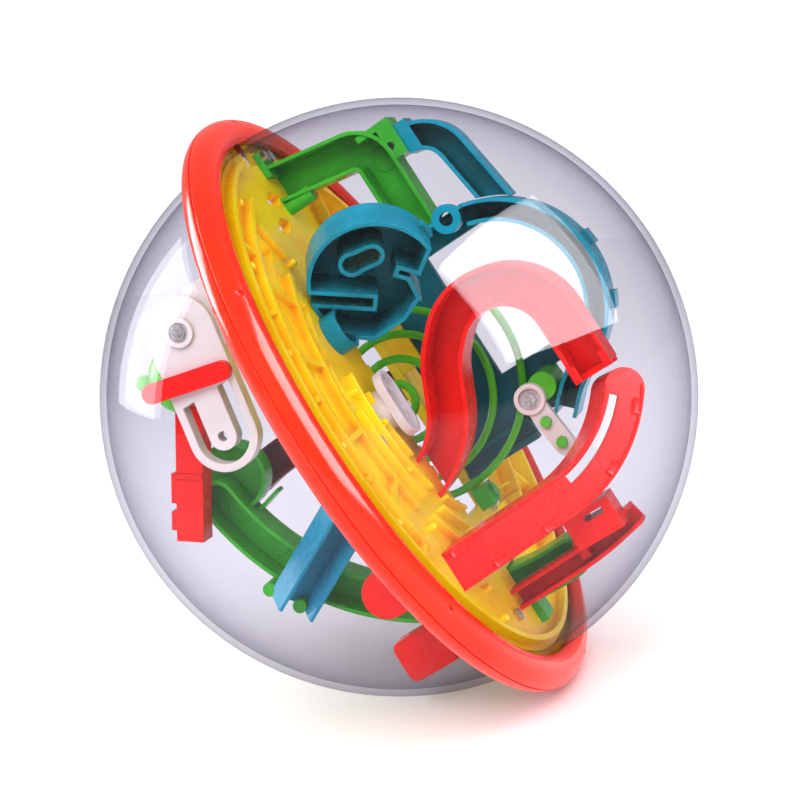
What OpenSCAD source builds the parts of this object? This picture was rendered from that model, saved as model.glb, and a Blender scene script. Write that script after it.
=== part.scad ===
// Maze ball: a clear sphere with a red rim, a yellow centre deck and coloured ball tracks.
// Everything is drawn about the sphere's centre with the rim level and its axis along Z,
// then tipped over until both the lower shell and the rim touch the table at Z = 0.

/* [Sphere] */
// Outer diameter of the clear sphere
shell_d = 178; // [160:1:220]
// Wall of the clear sphere
shell_wall = 2; // [1.4:0.1:2.6]
// Thickness of each shell's flange inside the rim
flange_t = 1.6; // [1.2:0.1:1.9]

/* [Rim] */
// Radius of the rim's round section
rim_tube_r = 5.4; // [5:0.1:6.6]
// Distance from the sphere's surface to the middle of the rim's section
rim_offset = 4; // [3.6:0.1:4.6]
// Width and depth of the groove that marks the rim's seam
seam = 0.5; // [0.3:0.1:0.8]
// Number of screws that hold the rim's halves together
rim_screw_count = 6; // [3:1:8]
// Shank radius of a rim screw
rim_screw_r = 0.9; // [0.7:0.1:1.1]

/* [Ball and tracks] */
// Diameter of the steel ball
ball_d = 8; // [6:0.1:9.6]
// Play of the ball across a track
ball_play = 1.6; // [1:0.1:2.4]
// Wall of every moulded track
wall = 1.2; // [0.9:0.1:1.5]
// Depth of a deep track, from its back to its open face
deep = 12; // [10.6:0.1:14.4]
// Depth of a shallow track
shallow = 9; // [7.5:0.1:10.8]
// Thickness of the plain bars and plates
plate = 3; // [2.4:0.1:3.6]

/* [Deck] */
// Thickness of the centre deck
deck_t = 3; // [2.4:0.1:3.6]
// Height of the walls that stand on the deck
deck_wall_h = 4; // [3:0.1:5]
// Thickness of the deck's edge, held between the two flanges
tongue_t = 1.6; // [1:0.1:2]

/* [Spiral and fixings] */
// Radius of the spiral's wire
wire_r = 1.2; // [0.9:0.1:1.5]
// Head radius of a track screw
screw_r = 1.9; // [1.5:0.1:2.3]
// Height of a track screw's head
screw_h = 1.4; // [1:0.1:2]
// Radius of the round pegs that join two tracks
peg_r = 1.6; // [1.2:0.1:1.9]

/* [Fits] */
// Gap between parts that slip past each other
gap = 0.3; // [0.2:0.05:0.5]
// Gap round a screw or a peg in its hole
fit = 0.05; // [0.02:0.01:0.1]

/* [Hidden] */
$fn = 96;
shell_r = shell_d / 2;
inner_r = shell_r - shell_wall;
rim_r = shell_r + rim_offset;
flange_r = rim_r + 1;
rim_screw_at = rim_r + 3;
deck_r = inner_r - gap;
deck_top = deck_t / 2;
ball_r = ball_d / 2;
track_w = ball_d + ball_play + 2 * wall;
tilt = asin((shell_r - rim_tube_r) / rim_r);
// The layout was drawn for a sphere of inner radius 87 and grows with it
grow = inner_r / 87;
far = 400;
// A straight stretch reaches this far into the bends at its ends, and is drawn
// this much slimmer all round, so that the two join without a shared face
lap = 0.3;
slim = 0.04;

// Half-ring track: middle of its arc, outer radius, and the y of its back
arc_mid = [-11, 13] * grow;
arc_r = 84.5 * grow;
arc_back = 4;
arc_deep = ball_d + wall + 1.8;
arc_from = -84;
arc_to = 4;
// The ball lies where the arc is lowest once the sphere is tipped
ball_lane = arc_r - wall - ball_r - gap;
ball_at = tilt - 90;

leaf = "limegreen";
sea = "darkturquoise";
ruby = "red";
sun = "gold";
milk = "ghostwhite";

// ---- placing ----

// Tips the whole sphere onto the table
module posed() {
    translate([0, 0, shell_r]) rotate([0, tilt, 0]) children();
}

// A place on the deck, with x and y laid out for the standard sphere
module on_deck(x, y, h = 0) {
    translate([x * grow, y * grow, deck_top + h * grow]) children();
}

// A place below the deck, h under its lower face
module under_deck(x, y, h = 0) {
    translate([x * grow, y * grow, -deck_top - h * grow]) children();
}

// Turns flat work so that it stands upright and its open side looks towards -Y
module upright() {
    rotate([90, 0, 0]) children();
}

// Cuts off what would reach below the deck's upper face
module seat_on_deck() {
    difference() {
        children();
        translate([-far / 2, -far / 2, deck_top - far]) cube([far, far, far]);
    }
}

// Cuts off what would reach above the deck's lower face
module hang_from_deck() {
    difference() {
        children();
        translate([-far / 2, -far / 2, -deck_top]) cube([far, far, far]);
    }
}

// ---- track pieces: each draws itself and puts its children at its far end ----

// Half of a channel's section, from its middle line out
module half_channel(w, h) {
    difference() {
        square([w / 2, h]);
        translate([0, wall]) square([w / 2 - wall, h]);
    }
}

// A channel's section: a floor with a wall on either side
module channel(w, h) {
    difference() {
        translate([-w / 2, 0]) square([w, h]);
        translate([wall - w / 2, wall]) square([w - 2 * wall, h]);
    }
}

// The same section, slimmer all round
module slim_channel(w, h) {
    difference() {
        translate([slim - w / 2, slim]) square([w - 2 * slim, h - 2 * slim]);
        translate([wall - slim - w / 2, wall - slim]) square([w - 2 * (wall - slim), h]);
    }
}

// A straight stretch of length l
module run(l, w, h) {
    rotate([90, 0, 90]) translate([0, 0, -lap])
        linear_extrude(l * grow + 2 * lap) slim_channel(w, h);
    translate([l * grow, 0, 0]) children();
}

// A bend to the left, r to its middle line, through angle a
module left(r, a, w, h) {
    rr = r * grow;
    translate([0, rr, 0]) rotate([0, 0, -90])
        rotate_extrude(angle = a) translate([rr, 0]) channel(w, h);
    translate([0, rr, 0]) rotate([0, 0, a]) translate([0, -rr, 0]) children();
}

// A bend to the right
module right(r, a, w, h) {
    rr = r * grow;
    mirror([0, 1, 0]) left(r, a, w, h);
    translate([0, -rr, 0]) rotate([0, 0, -a]) translate([0, rr, 0]) children();
}

// A rounded, closed end
module round_end(w, h) {
    run(0.8, w, h)
        rotate([0, 0, -90]) rotate_extrude(angle = 180) half_channel(w, h);
}

// A shallow raised ring, as a mould leaves on a track's floor
module mould_mark(r = 3.6) {
    translate([0, 0, wall / 2]) linear_extrude(wall / 2 + 0.2) difference() {
        circle(r = r);
        circle(r = r - 0.7);
    }
}

// A flat bar with round ends from the origin along +X
module bar(l, r, t) {
    linear_extrude(t) {
        circle(r = r);
        translate([l, 0]) circle(r = r);
        translate([0, -r]) square([l, 2 * r]);
    }
}

// A pan-head screw with a cross recess, head up, its seat at Z = 0
module screw(shank = 4) {
    slot_w = screw_r * 0.3;
    difference() {
        cylinder(r = screw_r, h = screw_h);
        for (a = [0, 90])
            rotate([0, 0, a]) translate([-screw_r * 0.7, -slot_w / 2, screw_h - 0.6])
                cube([screw_r * 1.4, slot_w, 1]);
    }
    translate([0, 0, -shank]) cylinder(r = screw_r * 0.55, h = shank);
}

// The hole that a screw's shank goes into
module screw_hole(depth = 4) {
    translate([0, 0, -depth - gap]) cylinder(r = screw_r * 0.55 + fit, h = depth + 2 * gap + 1);
}

// ---- sphere and rim ----

module half_shell() {
    difference() {
        union() {
            sphere(r = shell_r);
            translate([0, 0, tongue_t / 2]) cylinder(r = flange_r, h = flange_t);
        }
        sphere(r = inner_r);
        translate([0, 0, tongue_t / 2 - far]) cylinder(r = far, h = far);
    }
}

module upper_shell() {
    color("lavender", 0.3) posed() half_shell();
}

module lower_shell() {
    color("lavender", 0.3) posed() mirror([0, 0, 1]) half_shell();
}

module half_rim() {
    pocket_top = tongue_t / 2 + flange_t;
    difference() {
        rotate_extrude() difference() {
            intersection() {
                translate([rim_r, 0]) circle(r = rim_tube_r);
                translate([shell_r + gap, 0]) square([far, far]);
            }
            square([flange_r + gap, pocket_top]);
            translate([rim_r + rim_tube_r - seam, -1]) square([far, 1 + seam / 2]);
        }
        rim_screw_places() cylinder(r = rim_screw_r + fit, h = far, center = true);
    }
}

module rim_screw_places() {
    step = 360 / rim_screw_count;
    for (i = [0 : rim_screw_count - 1])
        rotate([0, 0, -57 + i * step]) translate([rim_screw_at, 0, 0]) children();
}

module ring_upper() {
    color("orangered") posed() half_rim();
}

module ring_lower() {
    color("orangered") posed() mirror([0, 0, 1]) half_rim();
}

module ring_screws() {
    half_h = sqrt(pow(rim_tube_r, 2) - pow(rim_screw_at + rim_screw_r - rim_r, 2));
    color("dimgray") posed() rim_screw_places()
        cylinder(r = rim_screw_r, h = 2 * half_h, center = true);
}

// ---- deck ----

// A wall on the deck that follows a circle
module deck_arc(r, from, to, h) {
    rr = r * grow;
    translate([0, 0, deck_top - 0.5]) rotate([0, 0, from])
        rotate_extrude(angle = to - from) translate([rr, 0]) square([1.8, h + 0.5]);
}

// A wall on the deck that points at the middle
module deck_rib(a, r, l, h) {
    rotate([0, 0, a]) translate([r * grow, -0.9, deck_top - 0.5]) cube([l * grow, 1.8, h + 0.5]);
}

// An opening that follows a circle
module deck_slot(r, from, to, w) {
    translate([0, 0, -far / 2]) rotate([0, 0, from])
        rotate_extrude(angle = to - from) translate([r * grow, 0]) square([w * grow, far]);
}

// A pointed oval opening
module leaf_hole(x, y, a, l, w) {
    rad = (l * l + w * w) / (4 * w);
    on_deck(x, y) rotate([0, 0, a]) linear_extrude(far, center = true) intersection() {
        translate([0, rad - w / 2]) circle(r = rad);
        translate([0, w / 2 - rad]) circle(r = rad);
    }
}

// The space that the half-ring track takes where it goes through the deck
module arc_slot() {
    translate([arc_mid[0], arc_back + 2 * gap, arc_mid[1]]) upright()
        rotate_extrude() translate([arc_r - track_w - 2 * gap, 0])
            square([track_w + 4 * gap, arc_deep + 4 * gap]);
}

// The opening round the spiral, with a toothed front edge
module well() {
    on_deck(-19, -14) linear_extrude(far, center = true) {
        square([54 * grow, 26 * grow]);
        translate([-18 * grow, 3 * grow]) square([78 * grow, 23 * grow]);
        for (x = [3 : 7 : 48])
            translate([x * grow, -2 * grow]) square([3.2 * grow, 3 * grow]);
    }
}

module deck_openings() {
    well();
    arc_slot();
    for (a = [-141, -118, -98, -79])
        leaf_hole(80 * cos(a), 80 * sin(a), a + 90, 15 * grow, 4 * grow);
    for (p = [[-70, -4, 96], [-61, -9, 100]])
        leaf_hole(p[0], p[1], p[2], 13 * grow, 5 * grow);
    for (s = [[64, -148, -130], [66, -126, -110], [64, -106, -90], [66, -86, -74],
              [63, 34, 48], [65, 52, 66], [63, 70, 84], [65, 88, 102], [63, 106, 120],
              [65, 124, 138], [63, 142, 154]])
        deck_slot(s[0], s[1], s[2], 7);
    for (s = [[49, -136, -118], [49, -112, -96], [50, 34, 52], [50, 58, 76]])
        deck_slot(s[0], s[1], s[2], 6);
    on_deck(34, 24) linear_extrude(far, center = true) square([12 * grow, 14 * grow]);
    deck_screw_places() screw_hole(deck_t);
}

module deck_walls() {
    outer = 83;
    deck_arc(outer, -168, 160, deck_wall_h - 1);
    for (s = [[75, -156, -60, 3], [58, -140, -62, 2.2], [75, 24, 160, 6], [59, 28, 158, 5],
              [47, 30, 78, 7], [40, 104, 150, 6]])
        deck_arc(s[0], s[1], s[2], s[3] * deck_wall_h / 4);
    for (a = [-150, -128, -108, -88, -72])
        deck_rib(a, 58.7, 17, 1.8);
    for (a = [32, 50, 68, 86, 104, 122, 140, 156])
        deck_rib(a, 60, 16, deck_wall_h);
    for (a = [-134, -118, -98, -80, -62])
        deck_rib(a, 76, 8, 2.4);
    on_deck(-20, 12.1, -0.3) cube([15 * grow, 1.5, 2 * deck_wall_h]);
    on_deck(-34, -50, -0.3) cube([23 * grow, 2, 2]);
}

module deck_screw_places() {
    for (p = [[44, 15.5], [49, 18.5], [71, -25], [30, 47], [-31, 47], [8, -46]])
        on_deck(p[0], p[1]) children();
}

module centre_deck() {
    color(sun) posed() difference() {
        union() {
            cylinder(r = deck_r, h = deck_t, center = true);
            cylinder(r = flange_r - gap, h = tongue_t, center = true);
            deck_walls();
        }
        deck_openings();
    }
}

module deck_screws() {
    color("silver") posed() deck_screw_places() screw(deck_t);
}

// ---- pieces above the deck ----

module centre_cup() {
    foot_r = 6.2;
    rim_half = 4;
    h = 6.5;
    color(milk, 0.85) posed() on_deck(1, -29) difference() {
        union() {
            cylinder(r = foot_r, h = h * 0.7);
            translate([-rim_half, 0, h * 0.6]) bar(2 * rim_half, foot_r, h * 0.4);
        }
        translate([0, 0, wall]) cylinder(r = foot_r - wall, h = far);
        translate([-rim_half, 0, h * 0.6 + wall]) bar(2 * rim_half, foot_r - wall, far);
    }
}

// Spiral: half turns of wire, each half a pitch wider and one step further back
spiral_at = [3 * grow, -9, 1];
spiral_r = 5.5 * grow;
spiral_pitch = 7 * grow;
spiral_halves = 8;
spiral_step = 2.2;
spiral_end_y = spiral_at[1] + spiral_halves * spiral_step;
bead_r = wire_r + 0.15;
// The last stretch rises over all the others
crown_r = half_r(spiral_halves) + 3 * grow;
crown_x = spiral_at[0] + half_x(spiral_halves) - crown_r;
crown_angle = 118;

function half_r(i) = spiral_r + i * spiral_pitch / 2;
function half_x(i) = (i % 2 == 0 ? 1 : -1) * (half_r(i) - spiral_pitch / 4);

// Half turn i: above the middle for an even i, below it for an odd one
module wire_half(i) {
    span = half_x(i + 1) - half_x(i);
    turn_r = sqrt(pow(span, 2) + pow(spiral_step, 2)) / 2;
    translate([half_x(i) + span / 2, (i + 0.5) * spiral_step, 0])
        rotate([0, 0, atan(spiral_step / span)]) upright() rotate([0, 0, (i % 2) * 180])
            rotate_extrude(angle = 180) translate([turn_r, 0]) circle(r = wire_r);
    translate([half_x(i + 1), (i + 1) * spiral_step, 0]) sphere(r = bead_r);
}

module green_spiral() {
    color(leaf) posed() {
        translate(spiral_at) {
            sphere_at = [half_x(0), 0, 0];
            translate(sphere_at) sphere(r = bead_r);
            for (i = [0 : spiral_halves - 1])
                wire_half(i);
        }
        translate([crown_x, spiral_end_y, spiral_at[2]]) upright()
            rotate_extrude(angle = crown_angle) translate([crown_r, 0]) circle(r = wire_r);
    }
}

module spiral_foot() {
    foot_x = spiral_at[0] + half_x(spiral_halves) + bead_r + fit;
    color("forestgreen") posed() translate([foot_x, spiral_end_y - 4, deck_top]) {
        cube([7 * grow, 8, 5]);
        translate([3.5 * grow, 4, 0]) cylinder(r = 2.4, h = 6.2);
    }
}

// Teal backboard behind the spiral, with two posts that carry the hood
board_y = 14;
board_top = 27 * grow;
hood_at = [-6, 40] * grow;
hood_r = 29.5 * grow;
hood_w = 7;
hood_deep = 16;
left_post = [-38, -31] * grow;
right_post = [11, 17] * grow;

module teal_backboard() {
    color("teal") posed() translate([0, board_y + plate, 0]) upright() difference() {
        union() {
            translate([left_post[0], deck_top]) cube([71.6 * grow, board_top - deck_top, plate]);
            translate([left_post[0], deck_top])
                cube([left_post[1] - left_post[0], 46 * grow - deck_top, plate]);
            translate([right_post[0], deck_top])
                cube([right_post[1] - right_post[0], 58 * grow - deck_top, plate]);
            translate([right_post[0], board_top - 1]) cube([17 * grow, 16 * grow + 1, plate]);
            for (x = [26, 31.8])
                translate([x * grow, deck_top]) cube([1.8, board_top - deck_top, plate + 2]);
        }
        translate([20, 39.5] * grow) cylinder(r = peg_r + fit, h = far, center = true);
        translate([-14 * grow, deck_top - 1]) cube([24 * grow, 5 * grow, far], center = false);
    }
}

// Hood: an arch of channel over the backboard that runs down to the right
module teal_hood() {
    start = 166;
    sweep = 136;
    color(sea) posed() {
        translate([hood_at[0], board_y, hood_at[1]]) upright() {
            rotate([0, 0, start - sweep]) rotate_extrude(angle = sweep)
                translate([hood_r, 0]) channel(hood_w, hood_deep);
            rotate([0, 0, start - sweep]) translate([hood_r, 0, 0]) rotate([0, 0, -90])
                run(5, hood_w, hood_deep)
                left(30, 15, hood_w, hood_deep) run(5.5, hood_w, hood_deep);
            for (a = [62, 96])
                rotate([0, 0, a]) translate([hood_r + hood_w / 2 - 0.2, -2.5, 2]) cube([1.6, 5, 9]);
        }
        // Leg and eye at the left end
        translate([left_post[0], board_y, 30 * grow]) upright() difference() {
            union() {
                cube([left_post[1] - left_post[0], 17.6 * grow, wall]);
                cube([wall, 17.6 * grow, hood_deep]);
                translate([1.5, 12 * grow, hood_deep - 4]) cylinder(r = 4.4, h = 4);
            }
            translate([1.5, 12 * grow, hood_deep - 5]) cylinder(r = 2.1, h = 6);
        }
    }
}

// Teal arch between the gate's corner and the hood
arch_deep = shallow;
arch_w = 9;
gate_back = board_y - gap;
gate_lean = 11;
gate_mid = 33 * grow;

module teal_arch() {
    color(sea) posed() difference() {
        translate([-63.5 * grow, gate_back, gate_top()]) upright() {
            rotate([0, 0, 84]) run(1.5, arch_w, arch_deep) right(11, 76, arch_w, arch_deep)
                run(22, arch_w, arch_deep);
            translate([-arch_w / 2 - 1, 0]) cube([arch_w + 1, 4, arch_deep]);
        }
        translate([hood_at[0], 0, hood_at[1]]) rotate([90, 0, 0])
            cylinder(r = hood_r + hood_w / 2 + gap, h = far, center = true);
        translate([-far / 2, -far / 2, gate_top() - far]) cube([far, far, far]);
    }
}

function gate_top() = deck_top + gate_mid + 8 * grow;

module green_gate() {
    post = 27;
    bend = 7.5;
    run_z = gate_mid;
    color("green") posed() {
        seat_on_deck() translate([-75 * grow, gate_back, deck_top - 1.5]) upright()
            rotate([0, 0, 90 - gate_lean]) run(post, track_w, deep)
                right(bend, 90 - gate_lean, track_w, deep) run(23, track_w, deep);
        translate([-63.5 * grow, gate_back, gate_mid]) upright() mould_mark(4);
        // Corner plate with an eye, a stud beside it and a tab on the deck
        translate([-72 * grow, gate_back, gate_mid]) upright() difference() {
            translate([0, -2, 0.3]) cube([12 * grow, gate_top() - gate_mid + 2, deep - 0.8]);
            translate([8, gate_top() - gate_mid - 3.6]) cylinder(r = 1.3, h = far, center = true);
            translate([2, -3]) cube([far, gate_top() - gate_mid + 1 - track_w / 4, far], center = false);
        }
        difference() {
            on_deck(-85.5, gate_back / grow - 12) cube([8.5 * grow, 10, 2]);
            gate_screw_places() screw_hole(3);
        }
        on_deck(-66.5, gate_back / grow - 9) cylinder(r = 2.6, h = 9 * grow);
    }
}

module gate_screw_places() {
    for (y = [9.5, 4.5])
        on_deck(-83.3, gate_back / grow - y) translate([0, 0, 2]) children();
}

module gate_screws() {
    color("silver") posed() gate_screw_places() screw(1.8);
}

// S track: a deep tray turned a little to the right, whose channel runs over an eye,
// round the left and back under it
s_r = 19 * grow;
s_turn = 30;
s_mid = 1.5 * grow;

// A quarter of the plane with its corner at x, y, turned by a and grown by inset
module corner_cut(x, y, a, inset) {
    translate([x * grow, y * grow]) rotate([0, 0, a]) translate([-inset, -inset]) square([far, far]);
}

// Its outline, drawn smaller all round by inset
module s_outline(inset) {
    difference() {
        intersection() {
            translate([0, s_mid]) circle(r = s_r - inset);
            translate([-far, -far]) square([far + 15.5 * grow - inset, 2 * far]);
        }
        // Eye
        translate([-8.4 * grow, 0]) circle(r = 2.7 * grow + inset);
        translate([-7.2 * grow, 6.2 * grow]) circle(r = 2.3 * grow + inset);
        translate([-8.4 * grow, 0]) rotate([0, 0, -11])
            translate([-2.5 * grow - inset, 0]) square([4.8 * grow + 2 * inset, 6.3 * grow]);
        // Slot between the upper loop and the foot
        translate([5.2, -2.6] * grow) rotate([0, 0, 228]) translate([-inset, -1.5 - inset])
            square([far, 3 + 2 * inset]);
        // End of the channel, the slot under it, and the foot's shoulder
        corner_cut(6.4, 12.9, 34, inset);
        translate([1.2, 9.6] * grow) rotate([0, 0, 34]) translate([-inset, -1.4 - inset])
            square([far, 1.4 + 2 * inset]);
        intersection() {
            corner_cut(3.4, 10.8, -12, inset);
            corner_cut(3.4, 10.8, -56, inset);
        }
        corner_cut(12.6, 8.2, -67, inset);
    }
}

module teal_s_track() {
    color(sea) posed() {
        translate([-36.8, -19.6, 0] * grow + [0, 0, deck_top + s_r - s_mid]) rotate([0, 0, s_turn]) upright() {
            linear_extrude(wall) s_outline(0);
            linear_extrude(deep) difference() {
                s_outline(0);
                s_outline(wall);
            }
            translate([-4 * grow, s_mid + s_r - 0.9, 3]) cube([5, 2.2, 3]);
        }
        // Scoop at its foot
        on_deck(-36.8, -19.6) rotate([0, 0, s_turn]) translate([5.4 * grow, -deep - 2.6, 0]) difference() {
            cylinder(r = 6.2, h = 5);
            translate([0, 0, wall]) cylinder(r = 6.2 - wall, h = far);
            translate([-far / 2, 3, -1]) cube([far, far, far]);
        }
    }
}

// Red C track in front of the spiral, from high on the right down to the deck
c_back = spiral_at[1] - wire_r - 1.8;

module red_c_track() {
    color(ruby) posed() seat_on_deck()
        translate([23 * grow, c_back, 58.5 * grow]) upright() {
            rotate([0, 0, 180]) run(19, track_w, deep + 2) left(17.2, 135, track_w, deep + 2)
                run(4, track_w, deep + 2) left(25, 20, track_w, deep + 2)
                run(8, track_w, deep + 2) right(30, 52, track_w, deep + 2)
                run(6, track_w, deep + 2);
            // Clips on its open end
            for (z = [-track_w / 2, track_w / 2 - 2.2])
                translate([-4, z, deep + 1]) cube([5, 2.2, 1.8]);
            translate([-0.4, -track_w / 2, 3]) cube([1.8, track_w, 2.4]);
        }
}

// Red slide: a channel that leans with the shell and bends left at its top
slide_at = [48, -54];
slide_lean = 31;
slide_bend = 46;

module red_slide() {
    color(ruby) posed() seat_on_deck() on_deck(slide_at[0], slide_at[1])
        rotate([-slide_lean, 0, 0]) upright() difference() {
            mirror([0, 0, 1]) rotate([0, 0, 90]) translate([-9 * grow, 0, 0])
                run(45, track_w, deep) left(slide_bend, 48, track_w, deep)
                round_end(track_w, deep);
            // Groove along the inner side of the bend
            translate([-slide_bend * grow, 36 * grow, 0]) rotate([0, 0, 8])
                rotate_extrude(angle = 38)
                    translate([slide_bend * grow - track_w / 2 + wall + 0.6, -wall - 1])
                        square([2.6, wall + 2]);
        }
}

// Red rail beside the slide, with the plate that ties the two
rail_at = [68.5, -14];
rail_w = 6.5;
rail_deep = 8;

module red_rail() {
    color(ruby) posed() seat_on_deck() on_deck(rail_at[0], rail_at[1], -1) {
        translate([0, rail_deep / 2, 0]) upright() rotate([0, 0, 92])
            run(22, rail_w, rail_deep) left(90, 10, rail_w, rail_deep) run(7, rail_w, rail_deep);
        plate_x = (slide_at[0] - rail_at[0]) * grow + track_w / 2 + 0.5;
        translate([plate_x, -11.5, 27 * grow]) difference() {
            cube([-4 * grow - plate_x, 11, 15 * grow]);
            translate([2, -1, 6]) cube([1.6, far, 6]);
        }
        translate([-6 * grow, -2, 24 * grow]) cube([6 * grow, 4, 3]);
    }
}

// Green bracket that holds the white link arm in front of the backboard
link_at = [21.2, 35];
link_end = [38, 36.6];
boss_at = [20, 39.5];
peg_at = [[29.3, 35.6], [36.7, 36.4]];
link_y = -4;

// A bar between two places in the upright plane
module strut(from, to, r, t) {
    way = to - from;
    translate(from * grow) rotate([0, 0, atan2(way[1], way[0])]) bar(norm(way) * grow, r, t);
}

module green_bracket() {
    color(leaf) posed() difference() {
        union() {
            translate([0, link_y + plate, 0]) upright() {
                strut(boss_at, link_at, 3.4, plate);
                strut(link_at, peg_at[1], 2.2, plate);
                for (p = peg_at)
                    translate(p * grow) cylinder(r = peg_r, h = 2 * plate + 1.5);
            }
            translate([0, board_y, 0]) upright() translate(boss_at * grow) {
                cylinder(r = 4.2, h = board_y - link_y);
                translate([0, 0, -plate]) cylinder(r = peg_r, h = plate + 1);
            }
        }
        link_bore();
    }
}

module link_bore() {
    translate([0, link_y, 0]) upright() translate(link_at * grow)
        cylinder(r = screw_r * 0.55 + fit, h = 9, center = true);
}

module white_link_arm() {
    arm_t = plate;
    color(milk) posed() difference() {
        translate([0, link_y, 0]) upright() difference() {
            union() {
                translate(link_at * grow) cylinder(r = 4.6, h = arm_t + 0.8);
                strut(link_at, link_end, 3.1, arm_t);
            }
            translate(link_at * grow) translate([0, 0, arm_t - 0.6]) cylinder(r = 3.3, h = far);
            for (p = peg_at)
                translate(p * grow) cylinder(r = peg_r + fit, h = far, center = true);
        }
        link_bore();
    }
}

module link_screw() {
    color("silver") posed() translate([0, link_y, 0]) upright() translate(link_at * grow)
        translate([0, 0, plate - 0.6]) screw(plate + 1);
}

// ---- pieces below the deck ----

// Half-ring track: the ball's lane, standing in its slot in the deck
module green_half_ring() {
    mid_r = arc_r - track_w / 2;
    lug_r = arc_r + 1.8;
    hub = [4, -71.5] * grow;
    hub_r = 11 * grow;
    color("green") posed() translate([arc_mid[0], arc_back, arc_mid[1]]) {
        upright() {
            rotate([0, 0, arc_from]) rotate_extrude(angle = arc_to - arc_from)
                translate([mid_r, 0]) channel(track_w, arc_deep);
            rotate([0, 0, arc_to]) translate([mid_r, 0, 0]) rotate([0, 0, 90])
                round_end(track_w, arc_deep);
            rotate([0, 0, arc_from]) translate([mid_r, 0, 0]) rotate([0, 0, -90])
                round_end(track_w, arc_deep);
            for (a = [-63, -56])
                rotate([0, 0, a]) translate([lug_r, 0, 1]) cylinder(r = 2.2, h = arc_deep + 5);
            difference() {
                translate([hub[0], hub[1], 0.2]) {
                    linear_extrude(wall - 0.4) circle(r = hub_r);
                    linear_extrude(7) difference() {
                        circle(r = hub_r);
                        circle(r = hub_r - wall);
                    }
                }
                translate([0, 0, wall - 0.3]) rotate_extrude()
                    translate([arc_r - track_w + wall / 2, 0]) square([track_w - wall, far]);
            }
            for (a = [-80, -68, -24])
                rotate([0, 0, a]) translate([mid_r, 0, 0]) mould_mark();
            rotate([0, 0, -76]) translate([mid_r - track_w / 2 - 9, -1, 0.3]) cube([9.5, wall, 5]);
        }
    }
    color("green") posed() on_deck(0, 0) difference() {
        translate([arc_mid[0] + sqrt(pow(arc_r, 2) - pow(arc_mid[1] - deck_top, 2)) - 1,
            arc_back - arc_deep + 0.4, 0]) cube([8, arc_deep - 0.8, 2.4]);
        translate([arc_mid[0], far / 2, arc_mid[1] - deck_top]) upright()
            cylinder(r = arc_r - wall / 2, h = far);
    }
}

module steel_ball() {
    color("silver") posed()
        translate([arc_mid[0], arc_back - wall - gap - ball_r, arc_mid[1]]) upright()
            rotate([0, 0, ball_at]) translate([ball_lane, 0, 0]) sphere(r = ball_r);
}

// Blue bridge in front of the half ring, held on its two lugs
module teal_bridge() {
    roll = -35;
    heading = -64;
    base_y = arc_back - arc_deep - gap - track_w / 2 * sin(-roll);
    color("deepskyblue") posed() difference() {
        hang_from_deck() translate([33, 0, -61] * grow + [0, base_y, 0]) upright()
            rotate([0, 0, heading]) rotate([roll, 0, 0]) translate([-72 * grow, 0, 0])
                run(72, track_w, deep - 1);
        translate([arc_mid[0], 0, arc_mid[1]]) upright() for (a = [-63, -56])
            rotate([0, 0, a]) translate([arc_r + 1.8, 0, 0])
                cylinder(r = 2.2 + fit, h = far, center = true);
    }
}

// White hairpin track, hung from the deck by a tab at its left end
pin_back = -27;
pin_deep = 5;
pin_left = [-50, -36];
pin_right = [-18, -42];

module hairpin_outline(r) {
    translate(pin_left * grow) circle(r = r * grow);
    translate(pin_right * grow) circle(r = r * grow);
    way = pin_right - pin_left;
    translate(pin_left * grow) rotate([0, 0, atan2(way[1], way[0])])
        translate([0, -r * grow]) square([norm(way) * grow, 2 * r * grow]);
}

module white_hairpin_track() {
    color(milk) posed() translate([0, pin_back, 0]) upright() {
        linear_extrude(pin_deep) difference() {
            hairpin_outline(10.6);
            difference() {
                hairpin_outline(8.2);
                hairpin_outline(4.2);
                translate([-60, -60] * grow) square([29 * grow, 60 * grow]);
            }
            translate(pin_right * grow) circle(r = 1.5);
            translate(pin_left * grow) circle(r = screw_r * 0.55 + fit);
        }

        translate(pin_left * grow) linear_extrude(pin_deep + 1.2) difference() {
            circle(r = 4.4);
            circle(r = 3);
        }
        translate([-60 * grow, (pin_left[1] + 6) * grow])
            cube([20 * grow, -(pin_left[1] + 6) * grow - deck_top, wall * 2]);
    }
}

module hairpin_screw() {
    color("silver") posed() translate([0, pin_back - pin_deep, 0]) upright()
        translate(pin_left * grow) screw(pin_deep - 1);
}

module red_cross_bar() {
    color(ruby) posed() translate([0, pin_back - pin_deep, 0]) upright()
        strut([-34, -31], [-39.5, -52.5], 3, plate);
}

pillar_l = 42 * grow;
pillar_w = 8.6;

module pillar_place() {
    translate([-32 * grow, arc_back - arc_deep, -53 * grow]) upright()
        rotate([0, 0, -34]) translate([0, -pillar_w / 2, 0]) children();
}

// Red pillar: a thick bar with two steps, its back against the half ring's hub
module red_pillar() {
    l = pillar_l;
    w = pillar_w;
    color(ruby) posed() pillar_place() {
            cube([l, w, 8]);
            translate([l * 0.5, -1.6, 0]) cube([l * 0.22, 2, 8]);
            translate([l * 0.78, -1.6, 0]) cube([l * 0.14, 2, 8]);
            translate([l * 0.5, 0, 7]) cube([1.2, w, 2]);
        }
}

// Green bowl on the pillar's upper end
module green_bowl() {
    bowl_r = 11.5;
    color(leaf) posed() difference() {
        translate([-40 * grow, arc_back - arc_deep - 6, -49 * grow]) difference() {
            union() {
                sphere(r = bowl_r);
                translate([-5 * grow, -3, -11.5]) sphere(r = 2.6);
            }
            sphere(r = bowl_r - wall);
            rotate([0, 28, 0]) translate([-far / 2, -far / 2, 0]) cube([far, far, far]);
            translate([-far / 2, arc_deep / 2 + 1, -far / 2]) cube([far, far, far]);
        }
        pillar_place() translate([-fit, -fit, -fit])
            cube([pillar_l, pillar_w + 2 * fit, 8 + 2 * fit]);
    }
}

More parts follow.
